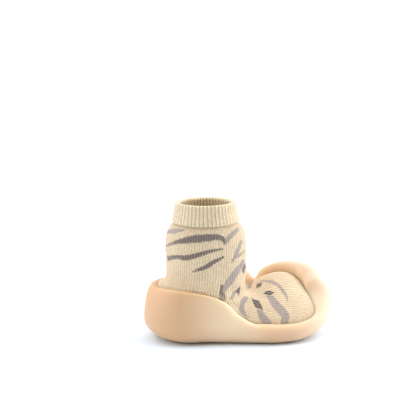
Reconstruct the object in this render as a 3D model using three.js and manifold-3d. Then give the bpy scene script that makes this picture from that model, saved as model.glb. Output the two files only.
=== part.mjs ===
// A baby's sock shoe for the right foot: a knitted sock with a folded rib cuff, standing in a soft
// moulded rubber sole whose wall rises round the heel, dips at the waist and curls over the toes.
// Millimetres. X runs from heel to toe, Y to the wearer's left, which is the big toe side, and Z up.
import * as THREE from "three";
import { mergeVertices } from "three/addons/utils/BufferGeometryUtils.js";
import Module from "manifold-3d";

const wasm = await Module();
wasm.setup();

// Overall sizes
const SHOE_LENGTH = 135;
const BALL_WIDTH = 68;
const COLLAR_HEIGHT = 95;
const HEEL_CUP_HEIGHT = 36;
const TOE_GUARD_HEIGHT = 43.5;

// Knitted sock and its folded cuff
const KNIT_WALL = 1.6;
const CUFF_FOLD = 1.4;
const CUFF_HEIGHT = 14;
const CUFF_ROLL = 1.6;
const CUFF_EDGE = 0.7;

// Rubber sole
const SOLE_THICKNESS = 6;
const CAP_REACH = 9;
const CAP_HEIGHT = 15;
const CAP_DROP = 0.6;
const LIP_REACH = 25;
const TOE_SPRING = 5;
const TOE_SPRING_FROM = 0.7;
const HEEL_SPRING = 2.5;
const HEEL_SPRING_TO = 0.22;
const FOOT_SPRING = 0.6;
const ARCH_RISE = 2;
const ARCH = { x: 0.42, y: 0.16, long: 0.11, wide: 0.2 };
const GROOVE_DEPTH = 1.2;
const GROOVE_WIDTH = 2;
const GROOVES = [0.13, 0.21, 0.29, 0.56, 0.64, 0.72, 0.8, 0.88];

// Insole and running gap
const INSOLE_THICKNESS = 2.5;
const GAP = 0.3;

// Mesh fineness
const AROUND_SOCK = 32;
const STEPS_PER_ROW = 2;
const OUTLINE_STEPS_PER_ROW = 4;

// The waist, as shares of the length, and the step along the outline that its direction is taken over
const WAIST = [0.42, 0.58];
const NEARBY = 0.02;

// How far the centre line bends, as a share of the ball's width, and the share of the length it bends to
const BEND = 0.05;
const BENT_BY = 0.95;

// How much of a ring's squaring its upper half takes
const TOP_SQUARING = 0.4;

const mix = THREE.MathUtils.lerp;
const FOOT_BED = SOLE_THICKNESS + GAP;
const heelEnd = -SHOE_LENGTH / 2;

// Height of the underside above the floor at a share of the length: flat under the heel and the ball,
// lifted at the back of the heel and sprung at the toe. The foot bed takes FOOT_SPRING of that lift.
function underside(share) {
  const toe = Math.max(0, (share - TOE_SPRING_FROM) / (1 - TOE_SPRING_FROM));
  const heel = Math.max(0, (HEEL_SPRING_TO - share) / HEEL_SPRING_TO);
  return TOE_SPRING * toe * toe + HEEL_SPRING * heel * heel;
}

// A smooth curve through the rows of a table, `place` counting rows; a closed table runs round.
function throughRows(rows, place, closed = false) {
  const count = rows.length;
  const i = closed ? Math.floor(place) : Math.min(count - 2, Math.floor(place));
  const t = place - i;
  const row = (k) => (closed ? rows[(k + count) % count] : rows[Math.max(0, Math.min(count - 1, k))]);
  const value = {};
  for (const key of Object.keys(rows[0])) {
    const [a, b, c, d] = [row(i - 1)[key], row(i)[key], row(i + 1)[key], row(i + 2)[key]];
    value[key] = b + 0.5 * t * (c - a + t * (2 * a - 5 * b + 4 * c - d + t * (3 * (b - c) + d - a)));
  }
  return value;
}

// Rings of the sock, from the collar down the leg and forward to the toes. Each ring passes through a
// point at the back or underneath and a point at the front or on top. The x columns are shares of the
// shoe's length, the z columns shares of the height from the foot bed to the collar, and `width` is a
// share of the ball's width. `square` squares the lower half of the ring, and `tilt` raises its big toe
// side, in degrees. The last row is the tip that closes the toe.
const SOCK_ROWS = [
  { backX: 0.179, backZ: 0.925, frontX: 0.469, frontZ: 0.925, width: 0.54, square: 2, tilt: 0 },
  { backX: 0.177, backZ: 0.877, frontX: 0.472, frontZ: 0.877, width: 0.55, square: 2, tilt: 0 },
  { backX: 0.17, backZ: 0.845, frontX: 0.48, frontZ: 0.845, width: 0.575, square: 2, tilt: 0 },
  { backX: 0.142, backZ: 0.807, frontX: 0.51, frontZ: 0.807, width: 0.63, square: 2, tilt: 0 },
  { backX: 0.123, backZ: 0.738, frontX: 0.527, frontZ: 0.743, width: 0.66, square: 2, tilt: 0 },
  { backX: 0.117, backZ: 0.625, frontX: 0.535, frontZ: 0.625, width: 0.67, square: 2, tilt: 0 },
  { backX: 0.118, backZ: 0.518, frontX: 0.533, frontZ: 0.539, width: 0.665, square: 2, tilt: 0 },
  { backX: 0.118, backZ: 0.438, frontX: 0.529, frontZ: 0.443, width: 0.665, square: 2, tilt: 0 },
  { backX: 0.11, backZ: 0.39, frontX: 0.527, frontZ: 0.368, width: 0.665, square: 2, tilt: 0 },
  { backX: 0.084, backZ: 0.352, frontX: 0.529, frontZ: 0.309, width: 0.67, square: 2, tilt: 0 },
  { backX: 0.069, backZ: 0.282, frontX: 0.536, frontZ: 0.27, width: 0.68, square: 2, tilt: 0 },
  { backX: 0.064, backZ: 0.165, frontX: 0.551, frontZ: 0.25, width: 0.685, square: 2.1, tilt: 0 },
  { backX: 0.075, backZ: 0.068, frontX: 0.573, frontZ: 0.246, width: 0.68, square: 2.2, tilt: 3 },
  { backX: 0.11, backZ: 0.017, frontX: 0.598, frontZ: 0.247, width: 0.675, square: 2.3, tilt: 7 },
  { backX: 0.18, backZ: 0.002, frontX: 0.626, frontZ: 0.253, width: 0.68, square: 2.5, tilt: 13 },
  { backX: 0.28, backZ: 0, frontX: 0.655, frontZ: 0.262, width: 0.7, square: 2.7, tilt: 19 },
  { backX: 0.4, backZ: 0, frontX: 0.688, frontZ: 0.272, width: 0.73, square: 2.9, tilt: 24 },
  { backX: 0.52, backZ: 0, frontX: 0.725, frontZ: 0.278, width: 0.765, square: 3, tilt: 27 },
  { backX: 0.63, backZ: 0, frontX: 0.763, frontZ: 0.277, width: 0.79, square: 3, tilt: 28 },
  { backX: 0.725, backZ: 0.004, frontX: 0.802, frontZ: 0.265, width: 0.785, square: 3, tilt: 27 },
  { backX: 0.8, backZ: 0.014, frontX: 0.838, frontZ: 0.241, width: 0.725, square: 2.8, tilt: 24 },
  { backX: 0.858, backZ: 0.038, frontX: 0.869, frontZ: 0.207, width: 0.6, square: 2.6, tilt: 20 },
  { backX: 0.891, backZ: 0.075, frontX: 0.894, frontZ: 0.162, width: 0.37, square: 2.4, tilt: 12 },
  { backX: 0.904, backZ: 0.118, frontX: 0.904, frontZ: 0.118, width: 0, square: 2, tilt: 0 },
];

// The outline of the sole at its widest, from the back of the heel along the little toe side, round
// the toes and back along the big toe side. `x` is a share of the length and `y` of the ball's width.
// `rim` is the height of the wall's crest and `bulge` that of its widest place, as shares of the heel
// cup's height behind the waist and of the toe guard's in front of it. `lip` is how far the crest rounds
// over to the sock and `tuck` how far the ground edge is set in, as shares of the ball's width. `aim` is
// the height inside the sock that the lip points at, as a share of the height of the collar.
const OUTLINE_ROWS = [
  { x: 0, y: 0, rim: 1.05, lip: 0.048, aim: 0.311, tuck: 0.2, bulge: 0.32 },
  { x: 0.045, y: -0.25, rim: 1.06, lip: 0.048, aim: 0.315, tuck: 0.21, bulge: 0.32 },
  { x: 0.16, y: -0.395, rim: 1.06, lip: 0.048, aim: 0.315, tuck: 0.2, bulge: 0.3 },
  { x: 0.3, y: -0.405, rim: 0.98, lip: 0.048, aim: 0.283, tuck: 0.17, bulge: 0.28 },
  { x: 0.4, y: -0.42, rim: 0.8, lip: 0.047, aim: 0.218, tuck: 0.14, bulge: 0.26 },
  { x: 0.46, y: -0.435, rim: 0.542, lip: 0.05, aim: 0.13, tuck: 0.13, bulge: 0.213 },
  { x: 0.53, y: -0.46, rim: 0.345, lip: 0.045, aim: 0.074, tuck: 0.13, bulge: 0.172 },
  { x: 0.595, y: -0.486, rim: 0.32, lip: 0.045, aim: 0.066, tuck: 0.13, bulge: 0.167 },
  { x: 0.66, y: -0.502, rim: 0.306, lip: 0.045, aim: 0.062, tuck: 0.13, bulge: 0.166 },
  { x: 0.8, y: -0.463, rim: 0.314, lip: 0.05, aim: 0.057, tuck: 0.15, bulge: 0.182 },
  { x: 0.915, y: -0.31, rim: 0.381, lip: 0.07, aim: 0.085, tuck: 0.19, bulge: 0.265 },
  { x: 0.98, y: -0.1, rim: 0.563, lip: 0.1, aim: 0.17, tuck: 0.21, bulge: 0.348 },
  { x: 1, y: 0.1, rim: 0.803, lip: 0.12, aim: 0.205, tuck: 0.21, bulge: 0.414 },
  { x: 0.965, y: 0.32, rim: 0.952, lip: 0.13, aim: 0.235, tuck: 0.2, bulge: 0.414 },
  { x: 0.88, y: 0.453, rim: 1.001, lip: 0.13, aim: 0.25, tuck: 0.18, bulge: 0.372 },
  { x: 0.76, y: 0.5, rim: 0.993, lip: 0.12, aim: 0.264, tuck: 0.16, bulge: 0.331 },
  { x: 0.665, y: 0.5, rim: 0.885, lip: 0.09, aim: 0.19, tuck: 0.15, bulge: 0.29 },
  { x: 0.62, y: 0.492, rim: 0.72, lip: 0.065, aim: 0.09, tuck: 0.14, bulge: 0.262 },
  { x: 0.575, y: 0.482, rim: 0.87, lip: 0.065, aim: 0.02, tuck: 0.14, bulge: 0.25 },
  { x: 0.5, y: 0.46, rim: 0.965, lip: 0.048, aim: 0.12, tuck: 0.14, bulge: 0.254 },
  { x: 0.41, y: 0.432, rim: 1.04, lip: 0.048, aim: 0.27, tuck: 0.14, bulge: 0.28 },
  { x: 0.3, y: 0.41, rim: 1.05, lip: 0.048, aim: 0.305, tuck: 0.16, bulge: 0.28 },
  { x: 0.16, y: 0.395, rim: 1.05, lip: 0.048, aim: 0.311, tuck: 0.19, bulge: 0.3 },
  { x: 0.045, y: 0.25, rim: 1.06, lip: 0.048, aim: 0.315, tuck: 0.21, bulge: 0.32 },
];

// The centre line bends towards the big toe side in the front half of the shoe.
function centreLine(x) {
  return BALL_WIDTH * BEND * THREE.MathUtils.smoothstep(x, 0, heelEnd + SHOE_LENGTH * BENT_BY);
}

// The points of one ring of the sock, starting at the front or top and going round by the big toe side.
function sockRing(row) {
  const x = (share) => heelEnd + SHOE_LENGTH * share;
  const z = (share) => mix(FOOT_BED, COLLAR_HEIGHT, share);
  const back = [x(row.backX), z(row.backZ) + underside(row.backX) * FOOT_SPRING];
  const front = [x(row.frontX), z(row.frontZ) + underside(row.frontX) * FOOT_SPRING];
  const slope = Math.tan(THREE.MathUtils.degToRad(row.tilt));
  const height = (share, side) => mix(back[1], front[1], share) + side * slope * share;
  return Array.from({ length: AROUND_SOCK }, (_, i) => {
    const angle = (2 * Math.PI * i) / AROUND_SOCK;
    const power = 2 / (Math.cos(angle) < 0 ? row.square : mix(2, row.square, TOP_SQUARING));
    const bend = (v) => Math.sign(v) * Math.pow(Math.abs(v), power);
    const share = (1 + bend(Math.cos(angle))) / 2;
    const side = 0.5 * BALL_WIDTH * row.width * bend(Math.sin(angle));
    const along = mix(back[0], front[0], share);
    return new THREE.Vector3(along, centreLine(along) + side, height(share, side));
  });
}

const sockSteps = (SOCK_ROWS.length - 2) * STEPS_PER_ROW;
const sockRings = Array.from({ length: sockSteps + 1 }, (_, i) => {
  return sockRing(throughRows(SOCK_ROWS, i / STEPS_PER_ROW));
});
const sockTip = sockRing(SOCK_ROWS.at(-1))[0];

// The rings moved outwards by `out`, or inwards where it is negative.
function offsetRings(rings, last, out) {
  return rings.map((ring, i) => {
    return ring.map((point, j) => {
      const before = rings[Math.max(0, i - 1)][j];
      const after = i + 1 < rings.length ? rings[i + 1][j] : last;
      const down = after.clone().sub(before);
      const round = ring[(j + 1) % ring.length].clone().sub(ring[(j + ring.length - 1) % ring.length]);
      return point.clone().addScaledVector(down.cross(round).normalize(), out);
    });
  });
}

// A closed skin built ring by ring, each ring anticlockwise seen from outside its start.
class Skin {
  corners = [];
  triangle(a, b, c) {
    if (a === b || b === c || c === a) return;
    for (const p of [a, b, c]) this.corners.push(p.x, p.y, p.z);
  }
  stack(rings) {
    for (let i = 0; i + 1 < rings.length; i++) {
      const [upper, lower] = [rings[i], rings[i + 1]];
      for (let j = 0; j < upper.length; j++) {
        const k = (j + 1) % upper.length;
        this.quad(upper[j], lower[j], lower[k], upper[k]);
      }
    }
  }
  ladder(ring, above = false) {
    const count = ring.length;
    for (let i = 0; 2 * i < count; i++) {
      const [a, b, c, d] = [ring[i], ring[i + 1], ring[count - i - 1], ring[(count - i) % count]];
      if (above) this.quad(a, b, c, d);
      else this.quad(a, d, c, b);
    }
  }
  quad(a, b, c, d) {
    this.triangle(a, b, c);
    this.triangle(a, c, d);
  }
  fan(ring, tip) {
    for (let j = 0; j < ring.length; j++) this.triangle(ring[j], tip, ring[(j + 1) % ring.length]);
  }
  solid() {
    const loose = new THREE.BufferGeometry();
    loose.setAttribute("position", new THREE.Float32BufferAttribute(this.corners, 3));
    return solidOf(loose);
  }
}

function solidOf(geometry) {
  geometry.deleteAttribute("normal");
  geometry.deleteAttribute("uv");
  const welded = mergeVertices(geometry, 1e-3);
  return new wasm.Manifold(new wasm.Mesh({
    numProp: 3,
    vertProperties: welded.attributes.position.array,
    triVerts: new Uint32Array(welded.index.array),
  }));
}

function geometryFrom(solid) {
  const mesh = solid.getMesh();
  const geometry = new THREE.BufferGeometry();
  geometry.setAttribute("position", new THREE.BufferAttribute(new Float32Array(mesh.vertProperties), 3));
  geometry.setIndex(new THREE.BufferAttribute(new Uint32Array(mesh.triVerts), 1));
  return geometry;
}

const reversed = (list) => [...list].reverse();
function middleOf(ring) {
  return ring.reduce((sum, point) => sum.add(point), new THREE.Vector3()).divideScalar(ring.length);
}

// The sock as a filled body moved out by `out`: the hollow in the rubber and the room for the insole.
function filledSock(out) {
  const rings = offsetRings(sockRings, sockTip, out);
  const skin = new Skin();
  skin.stack(rings);
  skin.fan(rings.at(-1), sockTip.clone().setX(sockTip.x + out));
  skin.fan(reversed(rings[0]), middleOf(rings[0]));
  return skin.solid();
}

// The knitted upper: a sock with a real wall, open at the collar.
function makeUpper() {
  const inner = offsetRings(sockRings, sockTip, -KNIT_WALL);
  const skin = new Skin();
  skin.stack([inner[0], ...sockRings]);
  skin.fan(sockRings.at(-1), sockTip);
  skin.stack(reversed(inner));
  skin.fan(reversed(inner.at(-1)), sockTip.clone().setX(sockTip.x - KNIT_WALL));
  return skin.solid();
}

// The leg's outline at a height, between the level rings of the neck.
function neckAt(height) {
  const below = Math.max(1, sockRings.findIndex((ring) => ring[0].z <= height));
  const [upper, lower] = [sockRings[below - 1], sockRings[below]];
  const t = THREE.MathUtils.clamp((upper[0].z - height) / (upper[0].z - lower[0].z), 0, 1);
  return upper.map((point, j) => point.clone().lerp(lower[j], t).setZ(height));
}

// The folded cuff: a band round the sock's neck, doubled above the neck's edge and rolled at its top.
function makeCuff() {
  const ringAt = ([height, out]) => {
    const ring = neckAt(height);
    const centre = middleOf(ring);
    return ring.map((point) => point.clone().addScaledVector(point.clone().sub(centre).normalize(), out));
  };
  const outer = GAP + CUFF_FOLD;
  const inner = -KNIT_WALL;
  const crown = (outer + inner) / 2;
  const foot = COLLAR_HEIGHT - CUFF_HEIGHT;
  const ledge = sockRings[0][0].z + GAP;
  const shoulder = COLLAR_HEIGHT - CUFF_ROLL;
  const rolled = COLLAR_HEIGHT - CUFF_ROLL / 4;
  const profile = [
    [ledge, GAP],
    [ledge, inner],
    [shoulder, inner],
    [rolled, mix(crown, inner, 0.7)],
    [COLLAR_HEIGHT, crown],
    [rolled, mix(crown, outer, 0.7)],
    [shoulder, outer],
    [mix(foot, shoulder, 0.5), outer],
    [foot + CUFF_ROLL, outer],
    [foot, GAP + CUFF_EDGE],
    [foot, GAP],
    [mix(foot, shoulder, 0.2), GAP],
    [ledge, GAP],
  ];
  const skin = new Skin();
  skin.stack(profile.map(ringAt));
  return skin.solid();
}

// The height that the shares of the wall are taken of: the heel cup's, then the toe guard's.
function wallHeight(share) {
  return mix(HEEL_CUP_HEIGHT, TOE_GUARD_HEIGHT, THREE.MathUtils.smoothstep(share, WAIST[0], WAIST[1]));
}

// A place on the sole's outline, counted in rows of the table, with the level direction inward.
function outlineAt(place) {
  const count = OUTLINE_ROWS.length;
  const rowAt = (where) => throughRows(OUTLINE_ROWS, (where + count) % count, true);
  const pointAt = (row) => new THREE.Vector3(heelEnd + SHOE_LENGTH * row.x, BALL_WIDTH * row.y, 0);
  const row = rowAt(place);
  const along = pointAt(rowAt(place + NEARBY)).sub(pointAt(rowAt(place - NEARBY)));
  const inward = new THREE.Vector3(-along.y, along.x, 0).normalize();
  const lip = BALL_WIDTH * row.lip;
  return { row, point: pointAt(row), inward, rim: wallHeight(row.x) * row.rim, lip };
}

// Where the rim meets the sock at one place: how far in from the outline and how high. A line from
// under the crest towards a point inside the sock is followed until it reaches the sock.
const bothSides = new THREE.MeshBasicMaterial({ side: THREE.DoubleSide });
const sockSurface = new THREE.Mesh(geometryFrom(filledSock(0)), bothSides);
function rimFoot(place) {
  const { row, point, inward, rim, lip } = outlineAt(place);
  const from = point.clone().setZ(rim - lip / 2);
  const target = point.clone().addScaledVector(inward, LIP_REACH);
  target.setZ(mix(FOOT_BED, COLLAR_HEIGHT, row.aim));
  const ray = new THREE.Raycaster(from, target.sub(from).normalize());
  const met = ray.intersectObject(sockSurface)[0].point;
  return new THREE.Vector2(Math.hypot(met.x - from.x, met.y - from.y), met.z);
}

// Points of a quarter ellipse from (from, low) to (to, high), at the given angles in degrees.
function quarter(angles, from, to, low, high) {
  return angles.map((angle) => {
    const radians = THREE.MathUtils.degToRad(angle);
    return [mix(from, to, Math.cos(radians)), mix(low, high, Math.sin(radians))];
  });
}

// The rubber's outer skin at one place of the outline: up from the ground edge to the widest place, on
// to the crest, over the lip to the sock and a little way into the sock's own space, cut away later.
function wallAt(place) {
  const { row, point, inward, rim, lip } = outlineAt(place);
  const step = 1 / OUTLINE_STEPS_PER_ROW;
  const beside = rimFoot(place - step).add(rimFoot(place + step)).divideScalar(2);
  const foot = rimFoot(place).lerp(beside, 0.5);
  const ground = underside(row.x);
  const bulge = ground + wallHeight(row.x) * row.bulge;
  const crest = Math.max(foot.x - lip, lip / 2);
  const points = [
    ...quarter([90, 64, 40, 18], BALL_WIDTH * row.tuck, 0, bulge, ground),
    ...quarter([0, 18, 36, 54, 72, 90], crest, 0, bulge, rim),
    ...quarter([60, 30, 0], crest, foot.x, foot.y, rim),
    [foot.x + CAP_REACH, mix(foot.y, CAP_HEIGHT, CAP_DROP)],
  ];
  return points.map(([inset, height]) => point.clone().addScaledVector(inward, inset).setZ(height));
}

// Tools for the underside: a groove across the sole at a share of the length, and the arch's hollow.
function grooveAt(share) {
  const height = underside(share) + GROOVE_DEPTH;
  const bar = new THREE.BoxGeometry(GROOVE_WIDTH, 2 * BALL_WIDTH, 2 * height);
  bar.translate(heelEnd + SHOE_LENGTH * share, 0, 0);
  return solidOf(bar);
}
function archHollow() {
  const hollow = new THREE.SphereGeometry(1, 24, 12);
  hollow.rotateX(Math.PI / 2);
  hollow.scale(SHOE_LENGTH * ARCH.long, BALL_WIDTH * ARCH.wide, ARCH_RISE);
  hollow.translate(heelEnd + SHOE_LENGTH * ARCH.x, BALL_WIDTH * ARCH.y, 0);
  return solidOf(hollow);
}

// The whole sole: the outer skin closed across the foot by two ladders, less the room for the sock,
// the grooves between the lugs and the arch.
function makeSole() {
  const count = OUTLINE_ROWS.length * OUTLINE_STEPS_PER_ROW;
  const walls = Array.from({ length: count }, (_, i) => wallAt(i / OUTLINE_STEPS_PER_ROW));
  const rings = walls[0].map((_, k) => walls.map((wall) => wall[k]));
  for (const point of rings[0]) point.z = underside((point.x - heelEnd) / SHOE_LENGTH);
  const skin = new Skin();
  skin.ladder(rings[0]);
  skin.stack(reversed(rings));
  skin.ladder(rings.at(-1), true);
  const tools = [filledSock(GAP), archHollow(), ...GROOVES.map(grooveAt)];
  return tools.reduce((sole, tool) => sole.subtract(tool), skin.solid());
}

// The insole: the lowest part of the room inside the sock, up to a level that follows the underside.
function makeInsole() {
  const outline = [];
  const steps = 12;
  for (let i = 0; i <= steps; i++) {
    const share = i / steps;
    const height = FOOT_BED + KNIT_WALL + GAP + INSOLE_THICKNESS + FOOT_SPRING * underside(share);
    outline.push(new THREE.Vector2(heelEnd + SHOE_LENGTH * share, height));
  }
  const corners = [new THREE.Vector2(-heelEnd, 0), new THREE.Vector2(heelEnd, 0)];
  const profile = new THREE.Shape([...outline, ...corners]);
  const slab = new THREE.ExtrudeGeometry(profile, { depth: BALL_WIDTH, bevelEnabled: false });
  slab.rotateX(Math.PI / 2);
  slab.translate(0, BALL_WIDTH / 2, 0);
  return filledSock(-KNIT_WALL - GAP).intersect(solidOf(slab));
}

const group = new THREE.Group();
group.name = "baby_sock_shoe";
function add(name, solid, colour, roughness) {
  const material = new THREE.MeshStandardMaterial({ color: colour, roughness, metalness: 0 });
  const mesh = new THREE.Mesh(geometryFrom(solid), material);
  mesh.name = name;
  group.add(mesh);
}
add("knit_upper", makeUpper(), 0xe8dcc0, 0.95);
add("rib_cuff", makeCuff(), 0xeadfc2, 0.95);
add("moulded_sole", makeSole(), 0xe6c8a4, 0.55);
add("insole", makeInsole(), 0xd8c7a2, 0.9);
export default group;
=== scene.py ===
# %% [markdown]
# # A baby's sock shoe
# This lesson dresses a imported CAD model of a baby's sock shoe: a knitted cotton sock with a folded rib
# cuff, standing in a soft moulded rubber sole. The CAD model gives the place and size of every piece.
# Here each piece is built again with finer meshes, and gets the yarn, ribs and rubber that a maker
# would see on the table.

# %% Load the frame
from math import cos, degrees, floor, hypot, pi, radians, sin, tan

import bmesh
import bpy
import numpy as np
from mathutils import Matrix, Vector, noise
from mathutils.bvhtree import BVHTree


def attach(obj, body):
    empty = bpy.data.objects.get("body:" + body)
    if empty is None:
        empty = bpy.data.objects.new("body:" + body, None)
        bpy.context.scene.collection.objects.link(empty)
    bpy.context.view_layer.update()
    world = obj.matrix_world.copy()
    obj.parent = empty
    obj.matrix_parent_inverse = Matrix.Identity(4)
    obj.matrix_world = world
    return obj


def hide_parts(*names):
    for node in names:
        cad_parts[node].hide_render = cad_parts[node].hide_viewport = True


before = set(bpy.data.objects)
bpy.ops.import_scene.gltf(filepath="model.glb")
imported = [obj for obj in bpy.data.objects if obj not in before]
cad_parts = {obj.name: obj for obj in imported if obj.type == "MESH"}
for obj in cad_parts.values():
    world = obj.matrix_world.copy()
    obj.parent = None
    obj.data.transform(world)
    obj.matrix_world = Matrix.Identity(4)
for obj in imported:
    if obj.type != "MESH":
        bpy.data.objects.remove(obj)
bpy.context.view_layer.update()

mm = 0.001

# %% [markdown]
# ## The camera
# A product picture of a small shoe is taken from a little behind the heel and a little above. The
# camera could be aimed with a constraint, but a matrix worked out from two angles stays the same on
# every run. The picture is square, so the focal length in pixels over the picture's width gives the lens.

# %% Place the camera
PICTURE = 416
FOCAL_PIXELS = 923
VIEW_TURN = radians(-10)
VIEW_RISE = radians(15)
VIEW_DISTANCE = 650 * mm
AIM_POINT = Vector((0, 0, 35 * mm))
AIM_PIXEL = (239.5, 284.5)

back = Vector((sin(VIEW_TURN) * cos(VIEW_RISE), -cos(VIEW_TURN) * cos(VIEW_RISE), sin(VIEW_RISE)))
right = Vector((cos(VIEW_TURN), sin(VIEW_TURN), 0))
level_view = Matrix((right, back.cross(right), back))
middle = PICTURE / 2
towards = Vector(((AIM_PIXEL[0] - middle) / FOCAL_PIXELS, (middle - AIM_PIXEL[1]) / FOCAL_PIXELS, -1))
swing = Vector((0, 0, -1)).rotation_difference(towards.normalized()).to_matrix()
axes = (swing @ level_view).transposed()

lens = bpy.data.cameras.new("product_camera")
lens.sensor_width = 36
lens.sensor_height = 36
lens.sensor_fit = "HORIZONTAL"
lens.lens = FOCAL_PIXELS / PICTURE * lens.sensor_width
camera = bpy.data.objects.new("product_camera", lens)
camera.matrix_world = Matrix.Translation(AIM_POINT + back * VIEW_DISTANCE) @ axes.to_4x4()
bpy.context.scene.collection.objects.link(camera)
bpy.context.scene.camera = camera
print("camera height", round(camera.location.z, 3), "lens", round(lens.lens, 1))

# %% [markdown]
# ## Sizes
# The sizes below are those of the CAD model, so that the fine pieces fill the same space. Lengths in
# the tables are shares of these named sizes, and each row is one section of the sock or one place on
# the outline of the sole. Only the rim's last rows, at the toe, reach a little further over the knit.

# %% Name the sizes
SHOE_LENGTH = 135 * mm
BALL_WIDTH = 68 * mm
COLLAR_HEIGHT = 95 * mm
HEEL_CUP_HEIGHT = 36 * mm
TOE_GUARD_HEIGHT = 43.5 * mm
KNIT_WALL = 1.6 * mm
CUFF_FOLD = 1.4 * mm
CUFF_HEIGHT = 14 * mm
SOLE_THICKNESS = 6 * mm
LIP_REACH = 25 * mm
TOE_SPRING = 5 * mm
TOE_SPRING_FROM = 0.7
HEEL_SPRING = 2.5 * mm
HEEL_SPRING_TO = 0.22
FOOT_SPRING = 0.6
ARCH_RISE = 2 * mm
ARCH_X, ARCH_Y, ARCH_LONG, ARCH_WIDE = 0.42, 0.16, 0.11, 0.2
GROOVE_DEPTH = 1.2 * mm
GROOVE_WIDTH = 2 * mm
GROOVES = (0.13, 0.21, 0.29, 0.56, 0.64, 0.72, 0.8, 0.88)
GAP = 0.3 * mm
FOOT_BED = SOLE_THICKNESS + GAP
HEEL_END = -SHOE_LENGTH / 2
BEND, BENT_BY = 0.05, 0.95
TOP_SQUARING = 0.4

# %% Sections of the sock and outline of the sole
SOCK_COLUMNS = ("back_x", "back_z", "front_x", "front_z", "width", "square", "tilt")
SOCK_ROWS = [
    (0.179, 0.925, 0.469, 0.925, 0.54, 2, 0),
    (0.177, 0.877, 0.472, 0.877, 0.55, 2, 0),
    (0.17, 0.845, 0.48, 0.845, 0.575, 2, 0),
    (0.142, 0.807, 0.51, 0.807, 0.63, 2, 0),
    (0.123, 0.738, 0.527, 0.743, 0.66, 2, 0),
    (0.117, 0.625, 0.535, 0.625, 0.67, 2, 0),
    (0.118, 0.518, 0.533, 0.539, 0.665, 2, 0),
    (0.118, 0.438, 0.529, 0.443, 0.665, 2, 0),
    (0.11, 0.39, 0.527, 0.368, 0.665, 2, 0),
    (0.084, 0.352, 0.529, 0.309, 0.67, 2, 0),
    (0.069, 0.282, 0.536, 0.27, 0.68, 2, 0),
    (0.064, 0.165, 0.551, 0.25, 0.685, 2.1, 0),
    (0.075, 0.068, 0.573, 0.246, 0.68, 2.2, 3),
    (0.11, 0.017, 0.598, 0.247, 0.675, 2.3, 7),
    (0.18, 0.002, 0.626, 0.253, 0.68, 2.5, 13),
    (0.28, 0, 0.655, 0.262, 0.7, 2.7, 19),
    (0.4, 0, 0.688, 0.272, 0.73, 2.9, 24),
    (0.52, 0, 0.725, 0.278, 0.765, 3, 27),
    (0.63, 0, 0.763, 0.277, 0.79, 3, 28),
    (0.725, 0.004, 0.802, 0.265, 0.785, 3, 27),
    (0.8, 0.014, 0.838, 0.241, 0.725, 2.8, 24),
    (0.858, 0.038, 0.869, 0.207, 0.6, 2.6, 20),
    (0.891, 0.075, 0.894, 0.162, 0.37, 2.4, 12),
    (0.904, 0.118, 0.904, 0.118, 0, 2, 0),
]
OUTLINE_COLUMNS = ("x", "y", "rim", "lip", "aim", "tuck", "bulge")
OUTLINE_ROWS = [
    (0, 0, 1.05, 0.048, 0.311, 0.2, 0.32),
    (0.045, -0.25, 1.06, 0.048, 0.315, 0.21, 0.32),
    (0.16, -0.395, 1.06, 0.048, 0.315, 0.2, 0.3),
    (0.3, -0.405, 0.98, 0.048, 0.283, 0.17, 0.28),
    (0.4, -0.42, 0.8, 0.047, 0.218, 0.14, 0.26),
    (0.46, -0.435, 0.542, 0.05, 0.13, 0.13, 0.213),
    (0.53, -0.46, 0.345, 0.045, 0.074, 0.13, 0.172),
    (0.595, -0.486, 0.32, 0.045, 0.066, 0.13, 0.167),
    (0.66, -0.502, 0.306, 0.045, 0.062, 0.13, 0.166),
    (0.8, -0.463, 0.314, 0.05, 0.057, 0.15, 0.182),
    (0.915, -0.31, 0.41, 0.085, 0.12, 0.19, 0.265),
    (0.98, -0.1, 0.563, 0.1, 0.21, 0.21, 0.348),
    (1, 0.1, 0.803, 0.12, 0.235, 0.21, 0.414),
    (0.965, 0.32, 0.952, 0.13, 0.235, 0.2, 0.414),
    (0.88, 0.453, 1.001, 0.13, 0.25, 0.18, 0.372),
    (0.76, 0.5, 0.993, 0.12, 0.264, 0.16, 0.331),
    (0.665, 0.5, 0.885, 0.09, 0.19, 0.15, 0.29),
    (0.62, 0.492, 0.72, 0.065, 0.09, 0.14, 0.262),
    (0.575, 0.482, 0.87, 0.065, 0.02, 0.14, 0.25),
    (0.5, 0.46, 0.965, 0.048, 0.12, 0.14, 0.254),
    (0.41, 0.432, 1.04, 0.048, 0.27, 0.14, 0.28),
    (0.3, 0.41, 1.05, 0.048, 0.305, 0.16, 0.28),
    (0.16, 0.395, 1.05, 0.048, 0.311, 0.19, 0.3),
    (0.045, 0.25, 1.06, 0.048, 0.315, 0.21, 0.32),
]
print(len(SOCK_ROWS), "sock sections,", len(OUTLINE_ROWS), "places on the outline")


# %% Read a table as a smooth curve
def mix(low, high, share):
    return low + (high - low) * share


def ease(value, low, high):
    share = min(1, max(0, (value - low) / (high - low)))
    return share * share * (3 - 2 * share)


def through_rows(columns, rows, place, closed=False):
    """A smooth curve through the rows of a table, as a dictionary of its columns."""
    count = len(rows)
    start = floor(place) if closed else min(count - 2, floor(place))
    t = place - start
    picked = [k % count if closed else max(0, min(count - 1, k)) for k in range(start - 1, start + 3)]
    a, b, c, d = (np.array(rows[k], float) for k in picked)
    value = b + 0.5 * t * (c - a + t * (2 * a - 5 * b + 4 * c - d + t * (3 * (b - c) + d - a)))
    return dict(zip(columns, value))


def underside(share):
    """Height of the sole's underside: flat under heel and ball, lifted behind and at the toe."""
    toe = max(0, (share - TOE_SPRING_FROM) / (1 - TOE_SPRING_FROM))
    heel = max(0, (HEEL_SPRING_TO - share) / HEEL_SPRING_TO)
    return TOE_SPRING * toe * toe + HEEL_SPRING * heel * heel


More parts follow.
